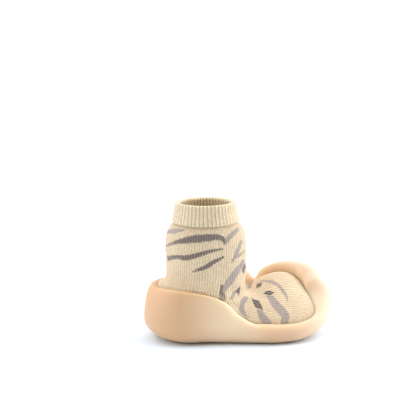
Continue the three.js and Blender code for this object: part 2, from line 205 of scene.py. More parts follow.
def centre_line(x):
    return BALL_WIDTH * BEND * ease(x, 0, HEEL_END + SHOE_LENGTH * BENT_BY)


# %% [markdown]
# ## The form of the sock
# A knitted sock is one tube. Each section of the table is a ring round the tube: it starts at the front
# of the ankle or the top of the foot, goes round by the big toe side, passes the back or the sole of
# the foot and comes home. A turn of 0.5 is therefore the back of the leg, and 0.75 the little toe side.

# %% Points on the sock
def along_bed(share_x, share_z):
    height = mix(FOOT_BED, COLLAR_HEIGHT, share_z) + underside(share_x) * FOOT_SPRING
    return Vector((HEEL_END + SHOE_LENGTH * share_x, 0, height))


def sock_ring(place, turns):
    """The points of one ring of the sock at the given shares of a turn."""
    row = through_rows(SOCK_COLUMNS, SOCK_ROWS, place)
    behind = along_bed(row["back_x"], row["back_z"])
    ahead = along_bed(row["front_x"], row["front_z"])
    slope = tan(radians(row["tilt"]))
    points = []
    for turn in turns:
        forward, sideways = cos(2 * pi * turn), sin(2 * pi * turn)
        square = row["square"] if forward < 0 else mix(2, row["square"], TOP_SQUARING)
        share = (1 + abs(forward) ** (2 / square) * (1 if forward > 0 else -1)) / 2
        side = 0.5 * BALL_WIDTH * row["width"] * abs(sideways) ** (2 / square)
        side = side if sideways > 0 else -side
        point = behind.lerp(ahead, share)
        points.append(point + Vector((0, centre_line(point.x) + side, side * slope * share)))
    return points


def offset_ring(place, turns, out):
    """A ring of the sock moved out along the surface's normal, or in where `out` is negative."""
    ring = sock_ring(place, turns)
    before, after = sock_ring(place - 0.1, turns), sock_ring(place + 0.1, turns)
    moved = []
    for k, point in enumerate(ring):
        around = ring[(k + 1) % len(ring)] - ring[k - 1]
        moved.append(point + (after[k] - before[k]).cross(around).normalized() * out)
    return moved


def even_places(count, first, last, spacing_turns=(0.1, 0.25, 0.4, 0.6, 0.75, 0.9)):
    """Places in the table, spaced so that the rings lie about equally far apart on the sock."""
    fine = np.linspace(first, last, 400)
    lines = np.array([[tuple(p) for p in sock_ring(place, spacing_turns)] for place in fine])
    steps = np.linalg.norm(np.diff(lines, axis=0), axis=2).mean(axis=1)
    length = np.concatenate([[0], np.cumsum(steps)])
    print("tube length", round(length[-1] / mm, 1), "mm")
    return np.interp(np.linspace(0, length[-1], count), length, fine)


# %% [markdown]
# ## A loft made by extruding
# Every soft piece here is a stack of rings. A circle of vertices is made once, its edges are extruded
# again and again, and each new ring is moved to its section. The vertices keep the number of their ring
# and of their step round it, because the patterns are laid out with those numbers later on.

# %% Loft helper
def loft(sections):
    """A tube through the sections, which all have the same number of points."""
    mesh = bmesh.new()
    ring_number = mesh.verts.layers.int.new("ring")
    step_number = mesh.verts.layers.int.new("step")
    bmesh.ops.create_circle(mesh, cap_ends=False, segments=len(sections[0]), radius=1)
    ring = list(mesh.verts)
    edges = list(mesh.edges)
    for number, section in enumerate(sections):
        if number:
            made = bmesh.ops.extrude_edge_only(mesh, edges=edges)["geom"]
            fresh = {part for part in made if isinstance(part, bmesh.types.BMVert)}
            ring = [
                next(edge.other_vert(old) for edge in old.link_edges if edge.other_vert(old) in fresh)
                for old in ring
            ]
            edges = [
                edge
                for edge in made
                if isinstance(edge, bmesh.types.BMEdge) and all(vert in fresh for vert in edge.verts)
            ]
        for step, (vert, point) in enumerate(zip(ring, section)):
            vert.co = point
            vert[ring_number] = number
            vert[step_number] = step
    return mesh


def lay_out(mesh, courses, steps):
    """A UV map from the ring and step numbers; `courses` gives the height on the chart of each ring."""
    ring_number = mesh.verts.layers.int["ring"]
    step_number = mesh.verts.layers.int["step"]
    chart = mesh.loops.layers.uv.new("chart")
    for face in mesh.faces:
        numbers = [loop.vert[step_number] for loop in face.loops]
        over_seam = max(numbers) - min(numbers) > steps / 2
        for loop, number in zip(face.loops, numbers):
            across = number + steps if over_seam and number < steps / 2 else number
            loop[chart].uv = (across / steps, courses[loop.vert[ring_number]])


def finish_piece(name, mesh, sharp_from=40):
    """Turns a bmesh into an object with smooth faces, sharp only where faces meet at a real edge."""
    mesh.normal_update()
    for face in mesh.faces:
        face.smooth = True
    for edge in mesh.edges:
        edge.smooth = degrees(edge.calc_face_angle(0)) < sharp_from
    data = bpy.data.meshes.new(name)
    mesh.to_mesh(data)
    mesh.free()
    piece = bpy.data.objects.new(name, data)
    bpy.context.scene.collection.objects.link(piece)
    print(name, len(data.vertices), "vertices", len(data.polygons), "faces")
    return piece


# %% [markdown]
# ## Where the rubber meets the sock
# The rubber's rim rounds over until it touches the sock. Where it touches is found with a ray, as a
# finger would feel for it: from under the crest towards a point inside the sock. The line is needed
# twice, for the rubber's lip and for the little ridge of loops that the rubber pushes up in the knit.

# %% Follow the rim
OUTLINE_STEPS = 8
WAIST = (0.42, 0.58)
NEARBY = 0.02
RIDGE_ABOVE = 1.2 * mm
outline_count = len(OUTLINE_ROWS) * OUTLINE_STEPS
plain = loft([sock_ring(place, [k / 96 for k in range(96)]) for place in np.linspace(0, 22.9, 116)])
sock_surface = BVHTree.FromBMesh(plain)
plain.free()


def outline_at(place):
    row, *spots = (
        through_rows(OUTLINE_COLUMNS, OUTLINE_ROWS, place + step, closed=True) for step in (0, -NEARBY, NEARBY)
    )
    behind, ahead = (Vector((SHOE_LENGTH * s["x"], BALL_WIDTH * s["y"], 0)) for s in spots)
    along = ahead - behind
    inward = Vector((-along.y, along.x, 0)).normalized()
    point = Vector((HEEL_END + SHOE_LENGTH * row["x"], BALL_WIDTH * row["y"], 0))
    height = mix(HEEL_CUP_HEIGHT, TOE_GUARD_HEIGHT, ease(row["x"], *WAIST))
    return row, point, inward, height


def reach_to_sock(place, start_height, aim_height):
    """How far in a line meets the sock, and how high, from the outline towards an inner height."""
    row, point, inward, height = outline_at(place)
    start = Vector((point.x, point.y, start_height))
    target = Vector((point.x, point.y, aim_height)) + inward * LIP_REACH
    met = sock_surface.ray_cast(start, (target - start).normalized())[0]
    return hypot(met.x - start.x, met.y - start.y), met.z


def rim_foot(place):
    row, point, inward, height = outline_at(place)
    start = height * row["rim"] - BALL_WIDTH * row["lip"] / 2
    return np.array(reach_to_sock(place, start, mix(FOOT_BED, COLLAR_HEIGHT, row["aim"])))


rim_feet = np.array([rim_foot(k / OUTLINE_STEPS) for k in range(outline_count)])
for _ in range(4):
    rim_feet = rim_feet / 2 + (np.roll(rim_feet, 2, axis=0) + np.roll(rim_feet, -2, axis=0)) / 4
ridge_line = []
for k, (reach, foot) in enumerate(rim_feet):
    row, point, inward, height = outline_at(k / OUTLINE_STEPS)
    beside = point + inward * reach
    touch = sock_surface.find_nearest(Vector((beside.x, beside.y, foot)))[0]
    rim_feet[k] = ((touch - point).dot(inward), touch.z)
    above = max(foot, height * row["rim"]) + RIDGE_ABOVE
    ridge_line.append(sock_surface.find_nearest(Vector((beside.x, beside.y, above)))[0])
ridge_line = np.array([tuple(point) for point in ridge_line])
print("rim reaches in by", (rim_feet[:, 0].min() / mm).round(1), "to", (rim_feet[:, 0].max() / mm).round(1))

# %% [markdown]
# ## The knitted upper
# A sock is knitted round and round, so its wales run down the leg and out along the foot, and its
# courses go round it. Each wale is four faces wide here, and its middle is raised a little, which makes
# the fine cords of the knit in the mesh itself. The wall is one long stack of rings: it starts at the
# tip inside, comes up the inside of the leg in coarse steps, turns over the collar's edge and goes
# down the outside and out to the toes in fine ones.

# %% Knit the tube
WALES = 96
STEPS_PER_WALE = 4
COURSES = 150
INNER_RINGS = 34
LAST_PLACE = 22
WALE_RELIEF = 0.12 * mm

steps = STEPS_PER_WALE * WALES
turns = [step / steps for step in range(steps)]
toe_tip = sock_ring(len(SOCK_ROWS) - 1, [0])[0]


def close_toe(ring, tip):
    """Rings that round the tube off to its tip, which they reach almost."""
    rounded = [(0.35, 0.0), (0.7, 0.4 * mm), (0.998, 0.4 * mm)]
    return [[point.lerp(tip, share) + Vector((out, 0, 0)) for point in ring] for share, out in rounded]


outer_places = even_places(COURSES, 0, LAST_PLACE)
inner_places = even_places(INNER_RINGS, 0, LAST_PLACE)[::-1]
outside = [sock_ring(place, turns) for place in outer_places]
inside = [offset_ring(place, turns, -KNIT_WALL) for place in inner_places]
inner_tip = toe_tip - Vector((KNIT_WALL, 0, 0))
inside = close_toe(inside[0], inner_tip)[::-1] + inside
outside += close_toe(outside[-1], toe_tip)
first_outside = len(inside)

sock = loft(inside + outside)
course_numbers = [0] * first_outside + list(range(len(outside)))
lay_out(sock, [number / COURSES for number in course_numbers], steps)
bmesh.ops.remove_doubles(sock, verts=sock.verts, dist=0.02 * mm)
bmesh.ops.recalc_face_normals(sock, faces=sock.faces)

# %% [markdown]
# The real sock isn't a smooth tube. It sags into soft folds where the ankle bends, swells just above
# the rubber and pulls in a little under the cuff. A modelling brush could do this, but a short table of
# troughs and ridges, each with its place, its size and its depth, can be changed and repeated.

# %% Fold the fabric
FOLD_COLUMNS = ("turn", "place", "lean", "length", "width", "depth")
FOLDS = [
    (0.86, 8.6, 35, 13, 3.2, -0.9),
    (0.84, 9.9, 42, 14, 3.0, 0.7),
    (0.93, 9.3, 20, 10, 2.6, -0.8),
    (0.1, 8.8, -35, 12, 3.2, -0.8),
    (0.66, 8.4, -8, 16, 3.0, -0.5),
    (0.6, 9.4, -6, 14, 2.6, 0.5),
    (0.4, 8.6, 8, 14, 3.0, -0.5),
    (0.72, 5.0, 4, 24, 5.0, 0.4),
    (0.8, 3.4, 12, 14, 3.5, -0.3),
    (0.93, 6.4, 14, 12, 4.0, 0.5),
    (0.56, 5.8, -10, 16, 5.0, -0.4),
    (0.92, 13.6, 70, 12, 4.0, 0.4),
    (0.86, 12.2, 60, 14, 3.4, -0.5),
    (0.05, 13.0, 80, 16, 4.5, -0.4),
]


def tangents(place, turn):
    """The directions round and along the sock at one place."""
    here = sock_ring(place, [turn])[0]
    beside = sock_ring(place, [turn + 0.01])[0]
    further = sock_ring(place + 0.1, [turn])[0]
    return here, (beside - here).normalized(), (further - here).normalized()


def fold_depths(points, folds):
    total = np.zeros(len(points))
    for here, long_way, short_way, length, width, depth in folds:
        away = points - np.array(here)
        along, across = away @ np.array(long_way), away @ np.array(short_way)
        off_plane = np.sum(away * away, axis=1) - along**2 - across**2
        total += depth * np.exp(-((along / length) ** 2 + (across / width) ** 2 + off_plane / (4 * length**2)))
    return total


placed_folds = []
for fold in FOLDS:
    row = dict(zip(FOLD_COLUMNS, fold))
    here, around, down = tangents(row["place"], row["turn"])
    lean = radians(row["lean"])
    long_way = around * cos(lean) + down * sin(lean)
    short_way = down * cos(lean) - around * sin(lean)
    sizes = (row["length"] * mm, row["width"] * mm, row["depth"] * mm)
    placed_folds.append((here, long_way, short_way, *sizes))

sock.normal_update()
sock.verts.ensure_lookup_table()
step_number = sock.verts.layers.int["step"]
ring_number = sock.verts.layers.int["ring"]
spots = np.array([tuple(vert.co) for vert in sock.verts])
depths = fold_depths(spots, placed_folds)

# %% [markdown]
# Just above the rubber's rim the knit stands up in a small ridge, because the rubber squeezes it there.
# It follows the rim's line: the nearer a stitch lies to a spot a little above the line, the more it is
# raised.

# %% Raise the cords and the ridge at the rim
RIDGE_WIDTH = 1.2 * mm
RIDGE_HEIGHT = 0.8 * mm
RIDGE_ENDS = 25 * mm
UNEVEN = 0.12 * mm

to_ridge = np.array([np.min(np.linalg.norm(ridge_line - spot, axis=1)) for spot in spots])
fade = np.clip((RIDGE_ENDS - spots[:, 0]) / RIDGE_ENDS, 0, 1)
ridge = RIDGE_HEIGHT * fade * np.exp(-((to_ridge / RIDGE_WIDTH) ** 2))
moves = []
for vert, depth, lift in zip(sock.verts, depths, ridge):
    is_outside = vert[ring_number] >= first_outside
    move = depth
    if is_outside:
        cord = cos(2 * pi * (vert[step_number] / STEPS_PER_WALE - 0.5))
        loops = 0.65 + 0.35 * cord
        move += WALE_RELIEF * cord + lift * loops + UNEVEN * noise.noise(vert.co * 700)
    moves.append(vert.normal * (move if is_outside else -move))
for vert, move in zip(sock.verts, moves):
    vert.co += move
print(len(moves), "vertices moved by", len(placed_folds), "folds and the ridge")

# %% [markdown]
# Stripes on a knitted sock are made stitch by stitch: a needle takes either the cream yarn or the grey
# one. The pattern is drawn as a few brush strokes on the sock, each a row of points with a half width.
# Every vertex then learns two things: how far it lies from the edge of the nearest stroke, below zero
# inside it, and the colour of that stroke's yarn. The material cuts the stripe's edge between them and
# steps it stitch by stitch, which is finer than the mesh.

# %% Yarns and strokes
YARNS = {
    "cream": (0.82, 0.665, 0.46),
    "grey": (0.2, 0.16, 0.155),
    "pale_grey": (0.43, 0.36, 0.34),
    "charcoal": (0.05, 0.047, 0.05),
    "heather": (0.15, 0.14, 0.14),
    "pink": (0.72, 0.22, 0.24),
}
STROKES = [
    ("pale_grey", [(0.44, 3.9, 0.6), (0.492, 3.7, 1.3), (0.578, 3.2, 1.7), (0.625, 2.9, 0.8)]),
    ("grey", [(0.52, 4.7, 0.5), (0.6, 4.25, 1.2), (0.65, 4.0, 2.1), (0.7, 3.8, 2.5), (0.761, 3.7, 2.2),
              (0.794, 3.8, 1.6), (0.81, 4.25, 1.2)]),
    ("pale_grey", [(0.808, 4.3, 1.3), (0.842, 3.7, 1.8), (0.9, 3.1, 1.2)]),
    ("grey", [(0.54, 5.5, 1.7), (0.614, 5.2, 1.4), (0.65, 5.2, 1.8), (0.708, 4.9, 1.5), (0.747, 4.7, 1.1),
              (0.797, 4.6, 0.6)]),
    ("grey", [(0.68, 6.25, 0.5), (0.728, 5.9, 1.5), (0.761, 5.5, 1.5), (0.8, 5.15, 0.7)]),
    ("pale_grey", [(0.839, 5.7, 0.9), (0.867, 4.9, 1.8), (0.9, 4.35, 1.3)]),
    ("pale_grey", [(0.86, 5.3, 1.3), (0.92, 5.05, 0.8)]),
    ("pale_grey", [(0.806, 8.7, 1.6), (0.825, 7.8, 2.7), (0.858, 6.8, 3.1), (0.91, 6.0, 2.4)]),
    ("grey", [(0.8, 8.0, 1.5), (0.807, 9.8, 2.3)]),
    ("pale_grey", [(0.844, 9.9, 1.2), (0.867, 9.2, 1.5), (0.892, 8.8, 0.8)]),
    ("pale_grey", [(0.93, 10.9, 1.2), (0.89, 11.2, 1.8), (0.85, 12.5, 2.0), (0.822, 13.7, 1.5), (0.8, 14.6, 0.9)]),
    ("pale_grey", [(0.908, 13.4, 1.2), (0.867, 14.5, 1.8), (0.822, 15.6, 2.6), (0.775, 16.5, 3.0)]),
    ("pale_grey", [(0.985, 14.7, 2.0), (0.928, 15.7, 3.2), (0.883, 16.8, 3.6), (0.847, 17.4, 3.0),
                   (0.785, 17.7, 2.4)]),
    ("pale_grey", [(0.1, 15.2, 0.6), (0.058, 15.7, 1.2), (0.025, 16.3, 1.6), (0.0, 16.9, 1.4),
                   (-0.036, 17.4, 1.0), (-0.061, 17.5, 0.4)]),
]
FAR_SIDE = (1, 3, 4, 5, 7, 9, 10, 11)
MOTIF_COLUMNS = ("turn", "place", "high", "wide", "lean", "dot")
MOTIFS = [
    (0.9, 13.6, 4.6, 3.6, 20, 0),
    (0.985, 14.9, 4.2, 3.2, 0, 0),
    (0.07, 14.4, 3.4, 2.6, -15, 0),
    (0.925, 6.6, 4.2, 3.4, 0, 0.3),
    (0.895, 9.0, 3.0, 2.4, 10, 0),
]
HALO = 0.8 * mm


def stroke_balls(stroke):
    """A stroke as balls along the sock's surface: middle and radius."""
    balls = []
    for place in np.linspace(0, len(stroke) - 1, 10 * (len(stroke) - 1) + 1):
        spot = through_rows(("turn", "place", "half"), stroke, place)
        balls.append((*sock_ring(spot["place"], [spot["turn"]])[0], spot["half"] * mm))
    return np.array(balls)


# %% Measure every vertex against the strokes
FAR = 5 * mm
edge_away = np.full(len(spots), FAR)
yarn_near = np.full(len(spots), "grey", dtype="<U10")
mirrored = [(STROKES[k][0], [(1 - turn, place, half) for turn, place, half in STROKES[k][1]]) for k in FAR_SIDE]
for yarn, stroke in STROKES + mirrored:
    balls = stroke_balls(stroke)
    low, high = balls[:, :3].min(axis=0) - FAR, balls[:, :3].max(axis=0) + FAR
    close = np.flatnonzero(np.all((spots > low) & (spots < high), axis=1))
    away = np.linalg.norm(spots[close, None, :] - balls[None, :, :3], axis=2) - balls[None, :, 3]
    nearest = away.min(axis=1)
    closer = nearest < edge_away[close]
    edge_away[close[closer]] = nearest[closer]
    yarn_near[close[closer]] = yarn

for motif in MOTIFS:
    row = dict(zip(MOTIF_COLUMNS, motif))
    here, around, down = tangents(row["place"], row["turn"])
    offset = spots - np.array(here)
    across, along = offset @ np.array(around), offset @ np.array(down)
    slant = radians(row["lean"])
    u = (across * cos(slant) + along * sin(slant)) / (row["wide"] * mm)
    v = (along * cos(slant) - across * sin(slant)) / (row["high"] * mm)
    beside = np.linalg.norm(offset, axis=1) < 9 * mm
    share = np.abs(u) + np.abs(v)
    away = (share - 1) * row["wide"] * 0.8 * mm
    closer = beside & ((away < edge_away) | (away < HALO))
    edge_away[closer] = away[closer]
    yarn_near[closer] = "charcoal"
    yarn_near[closer & (share < 0.62)] = "heather"
    yarn_near[closer & (share < row["dot"])] = "pink"

edge_away[[vert[ring_number] < first_outside for vert in sock.verts]] = FAR
yarn_layer = sock.verts.layers.float_color.new("yarn")
away_layer = sock.verts.layers.float.new("away")
ridge_layer = sock.verts.layers.float.new("ridge")
for vert, yarn, away, lift in zip(sock.verts, yarn_near, edge_away, ridge):
    vert[yarn_layer] = (*YARNS[yarn], 1)
    vert[away_layer] = away / mm
    vert[ridge_layer] = lift / RIDGE_HEIGHT
print({name: int(((yarn_near == name) & (edge_away < 0)).sum()) for name in YARNS})
knit_upper = finish_piece("fine_knit_upper", sock, sharp_from=80)

# %% [markdown]
# ## The rib cuff
# The cuff is knitted in a rib, one raised column and one sunk column in turn, and folded double. Its
# section is a tall narrow loop: up the inside, over a round top and down the outside to a soft foot
# that flares a little and turns in to the leg. The ribs are real ridges in the mesh: the outside
# swells and sinks along the ring, and the ribs fade towards the rolled top.

# %% Rib the cuff
RIBS = 50
STEPS_PER_RIB = 8
RIB_DEPTH = 0.55 * mm
CUFF_FOOT = COLLAR_HEIGHT - CUFF_HEIGHT
OUTSIDE = GAP + CUFF_FOLD
INSIDE = -KNIT_WALL

neck_places = np.linspace(0, 4, 81)
cuff_steps = RIBS * STEPS_PER_RIB
cuff_turns = [step / cuff_steps for step in range(cuff_steps)]
neck_rings = [sock_ring(place, cuff_turns) for place in neck_places]


def neck_at(height):
    """The leg's outline at a height; above the top ring it goes straight up."""
    heights = [ring[0].z for ring in neck_rings]
    index = max(1, next((k for k, z in enumerate(heights) if z <= height), len(heights) - 1))
    upper, lower = neck_rings[index - 1], neck_rings[index]
    share = min(1, max(0, (upper[0].z - height) / (upper[0].z - lower[0].z)))
    points = [a.lerp(b, share) for a, b in zip(upper, lower)]
    return [Vector((point.x, point.y, height)) for point in points]


# Columns: rise above the foot and distance out from the leg in millimetres, then the share of the rib.
CUFF_PROFILE = [
    (0.30, 0.18, 0.0), (0.0, 0.55, 0.1), (0.1, 1.0, 0.35), (0.7, 1.5, 0.7), (1.6, 1.75, 1.0), (3.0, 1.8, 1.0),
    (5.0, 1.65, 1.0), (7.0, 1.4, 1.0), (9.0, 1.2, 1.0), (11.0, 1.05, 1.0), (12.3, 0.97, 0.9),
    (13.1, 0.86, 0.7), (13.7, 0.6, 0.45), (13.95, 0.2, 0.35), (13.95, -0.4, 0.35), (13.7, -0.95, 0.4),
    (13.1, -1.35, 0.5), (12.2, -1.5, 0.7), (11.0, -1.3, 0.8), (9.0, -1.0, 0.8), (8.0, -1.0, 0.6), (7.7, -0.5, 0.3),
    (7.7, 0.17, 0.0), (5.0, 0.17, 0.0), (2.5, 0.17, 0.0),
]
cuff_sections = []
for rise, out, rib in CUFF_PROFILE:
    ring = neck_at(CUFF_FOOT + rise * mm)
    centre = sum(ring, Vector()) / len(ring)
    section = []
    for step, point in enumerate(ring):
        gap = 1 - abs(cos(pi * step / STEPS_PER_RIB))
        reach = out * OUTSIDE if out > 0 else -out * INSIDE
        sunk = RIB_DEPTH * rib * gap * (1 if out > 0 else -1)
        section.append(point + (point - centre).normalized() * (reach - sunk))
    cuff_sections.append(section)

cuff = loft(cuff_sections)
lay_out(cuff, [rise * mm / CUFF_HEIGHT for rise, out, rib in CUFF_PROFILE], cuff_steps)
open_edges = [edge for edge in cuff.edges if edge.is_boundary]
bmesh.ops.bridge_loops(cuff, edges=open_edges)
bmesh.ops.recalc_face_normals(cuff, faces=cuff.faces)
rib_cuff = finish_piece("fine_rib_cuff", cuff, sharp_from=120)

# %% [markdown]
# ## The moulded sole
# The sole is one piece of soft rubber. Its wall is a section swept round the outline: it leaves the
# ground with a quarter turn, swells to its widest place, leans in to the rim and curls over the lip
# until it meets the sock. Where it meets the sock is found with a ray, as a finger would feel for it.

# %% Sections of the sole
HIDDEN_DEPTHS = (0.25, 0.5, 0.75, 1)


def quarter(angles, start, end, low, high):
    """Points of a quarter ellipse from (start, low) to (end, high), at angles in degrees."""
    return [(mix(start, end, cos(radians(a))), mix(low, high, sin(radians(a)))) for a in angles]


def arch_hollow(point):
    u = (point.x - (HEEL_END + SHOE_LENGTH * ARCH_X)) / (SHOE_LENGTH * ARCH_LONG)
    v = (point.y - BALL_WIDTH * ARCH_Y) / (BALL_WIDTH * ARCH_WIDE)
    return ARCH_RISE * max(0, 1 - u * u - v * v) ** 0.5


def wall_section(number):
    row, point, inward, height = outline_at(number / OUTLINE_STEPS)
    reach, foot = rim_feet[number]
    ground = underside(row["x"])
    rim = height * row["rim"]
    bulge = ground + height * row["bulge"]
    crest = max(reach - BALL_WIDTH * row["lip"], BALL_WIDTH * row["lip"] / 2)
    profile = quarter((90, 76, 62, 48, 34, 22, 11), BALL_WIDTH * row["tuck"], 0, bulge, ground)
    profile += quarter(range(0, 100, 10), crest, 0, bulge, rim)
    profile += quarter((72, 54, 36, 18, 0), crest, reach, foot, rim)
    low = FOOT_BED + underside(row["x"]) * FOOT_SPRING + 2.5 * mm
    for share in HIDDEN_DEPTHS:
        level = mix(foot, min(low, foot - 1 * mm), share)
        profile.append((reach_to_sock(number / OUTLINE_STEPS, level, level)[0] - GAP, level))
    profile.append((profile[-1][0] + 5 * mm, low - 2.8 * mm))
    return [Vector((point.x, point.y, height)) + inward * inset for inset, height in profile]


walls = [wall_section(number) for number in range(outline_count)]
sole_rings = [list(ring) for ring in zip(*walls)]


def towards_middle(ring, share):
    """The ring drawn in to the middle line of the foot; at 1 its two sides meet."""
    drawn = []
    for k, point in enumerate(ring):
        other = ring[-k % len(ring)]
        centre = (point + other) / 2
        centre.x = min(0.37 * SHOE_LENGTH, max(-0.38 * SHOE_LENGTH, centre.x))
        drawn.append(point.lerp(centre, share))
    return drawn


bottom = []
for share in (1, 0.86, 0.72, 0.58, 0.44, 0.3, 0.15):
    ring = towards_middle(sole_rings[0], share)
    for point in ring:
        point.z = underside((point.x - HEEL_END) / SHOE_LENGTH) + arch_hollow(point)
    bottom.append(ring)
for point in sole_rings[0]:
    point.z = underside((point.x - HEEL_END) / SHOE_LENGTH) + arch_hollow(point)
bed = []
for share in (0.3, 0.65, 1):
    ring = towards_middle(sole_rings[-1], share)
    for point in ring:
        point.z = SOLE_THICKNESS + underside((point.x - HEEL_END) / SHOE_LENGTH) * FOOT_SPRING - 0.1 * mm
    bed.append(ring)

sole = loft(bottom + sole_rings + bed)
# This attribute marks the thin lip, where a warm glow is painted into the rubber's colour.
thin = sole.verts.layers.float.new("thin")
ring_number = sole.verts.layers.int["ring"]
lip_ring = len(bottom) + 7 + 10 + 4
for vert in sole.verts:
    vert[thin] = max(0, 1 - abs(vert[ring_number] - lip_ring) / 5)
bmesh.ops.remove_doubles(sole, verts=sole.verts, dist=0.02 * mm)
bmesh.ops.recalc_face_normals(sole, faces=sole.faces)
sole_form = finish_piece("sole_form", sole, sharp_from=180)
rounding = sole_form.modifiers.new("rounding", "SUBSURF")
rounding.levels = rounding.render_levels = 1

# %% [markdown]
# The tread is a row of shallow cross grooves with lugs between them. Each groove is a long bar, and a
# Boolean modifier takes all the bars away in one go. Cutting works better than pushing faces up here,
# because a groove has to run out through the rounded edge of the sole.

# %% Cut the tread
bars = bmesh.new()
for share in GROOVES:
    half = underside(share) + GROOVE_DEPTH
    spot = Vector((HEEL_END + SHOE_LENGTH * share, 0, 0))
    size = Matrix.Diagonal((GROOVE_WIDTH, 2 * BALL_WIDTH, 2 * half, 1))
    bmesh.ops.create_cube(bars, size=1, matrix=Matrix.Translation(spot) @ size)
bar_object = finish_piece("groove_bars", bars)
cut = sole_form.modifiers.new("grooves", "BOOLEAN")
cut.operation = "DIFFERENCE"
cut.solver = "MANIFOLD"
cut.object = bar_object

graph = bpy.context.evaluated_depsgraph_get()
cut_mesh = bpy.data.meshes.new_from_object(sole_form.evaluated_get(graph))
cut_form = bmesh.new()
cut_form.from_mesh(cut_mesh)
for helper in (sole_form, bar_object):
    bpy.data.objects.remove(helper)
moulded_sole = finish_piece("fine_moulded_sole", cut_form, sharp_from=50)

# %% [markdown]
# ## The insole
# A thin cloth-covered insole lies inside the sock and is seen only from above, down the leg. Its CAD
# solid already has the right outline, so a copy of it is merged, cleaned of its extra edges and shaded
# smooth where its faces meet at gentle angles.

# %% Soften the insole
insole_mesh = bmesh.new()
insole_mesh.from_mesh(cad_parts["insole"].data)
bmesh.ops.remove_doubles(insole_mesh, verts=insole_mesh.verts, dist=0.01 * mm)
bmesh.ops.dissolve_limit(
    insole_mesh, angle_limit=radians(4), verts=insole_mesh.verts, edges=insole_mesh.edges
)
fine_insole = finish_piece("fine_insole", insole_mesh, sharp_from=50)


# %% [markdown]
# ## Shader sums in plain Python
# A material is a graph of nodes, and a sum of five terms is five nodes. The small class below wraps an
# output socket, so that an expression such as 1 - mask * 0.3 adds its Math nodes by itself.

# %% Wire and board
class Wire:
    """One output of a node, ready for sums."""

    def __init__(self, board, socket):
        self.board = board
        self.socket = socket

    def maths(self, operation, *others):
        return self.board.node("ShaderNodeMath", {"operation": operation}, [self, *others])

    def __add__(self, other):
        return self.maths("ADD", other)

    def __mul__(self, other):
        return self.maths("MULTIPLY", other)

    def __sub__(self, other):
        return self.maths("SUBTRACT", other)

    def __rsub__(self, other):
        return self * -1 + other

    def __truediv__(self, other):
        return self.maths("DIVIDE", other)

    __radd__ = __add__
    __rmul__ = __mul__


class Board:
    """The node tree of one new material."""

    def __init__(self, name):
        self.material = bpy.data.materials.new(name)
        self.material.use_nodes = True
        self.tree = self.material.node_tree
        self.shader = self.tree.nodes["Principled BSDF"]

    def put(self, socket, value):
        if isinstance(value, Wire):
            self.tree.links.new(value.socket, socket)
        else:
            socket.default_value = value

    def node(self, kind, settings=None, inputs=(), output=0):
        """Adds a node: its settings first, then the values or links of its sockets."""
        made = self.tree.nodes.new(kind)
        for name, value in (settings or {}).items():
            if name == "stops":
                ramp = made.color_ramp.elements
                for k, (position, colour) in enumerate(value):
                    stop = ramp[k] if k < 2 else ramp.new(position)
                    stop.position = position
                    stop.color = colour
            else:
                setattr(made, name, value)
        pairs = inputs.items() if isinstance(inputs, dict) else enumerate(inputs)
        for name, value in pairs:
            self.put(made.inputs[name], value)
        return Wire(self, made.outputs[output])

    def blend(self, amount, first, second, blend_type="MIX"):
        settings = {"data_type": "RGBA", "blend_type": blend_type}
        return self.node("ShaderNodeMix", settings, {0: amount, 6: first, 7: second}, output=2)

    def ramp(self, value, start, end):
        """0 at `start` and 1 at `end`, with a soft curve between them."""
        return self.node("ShaderNodeMapRange", {"interpolation_type": "SMOOTHSTEP"}, {0: value, 1: start, 2: end})

    def noise(self, vector, scale, detail=2, roughness=0.5):
        inputs = {"Vector": vector, "Scale": scale, "Detail": detail, "Roughness": roughness}
        return self.node("ShaderNodeTexNoise", {}, inputs)

    def finish(self, **sockets):
        for name, value in sockets.items():
            self.put(self.shader.inputs[name.replace("_", " ")], value)
        print("material", self.material.name, len(self.tree.nodes), "nodes")
        return self.material


def place_on(board):
    return board.node("ShaderNodeTexCoord", output=3)


# %% [markdown]
# ## Cotton knit
# Close up, each stitch is a small V of yarn. The chart that was laid out on the sock counts wales and
# courses, so the V comes from two waves: one across the wale, and one along it that is bent up at both
# sides. The same waves let warm shade into the gaps between the cords, and in a stripe the cream yarn
# underneath shows there. A fine noise on top is the fuzz of cotton, and so is the sheen.

# %% Knit material
# Painted highlight colour for the raised loops of the ridge above the rubber.
RIDGE_HIGHLIGHT = (0.93, 0.85, 0.7, 1)


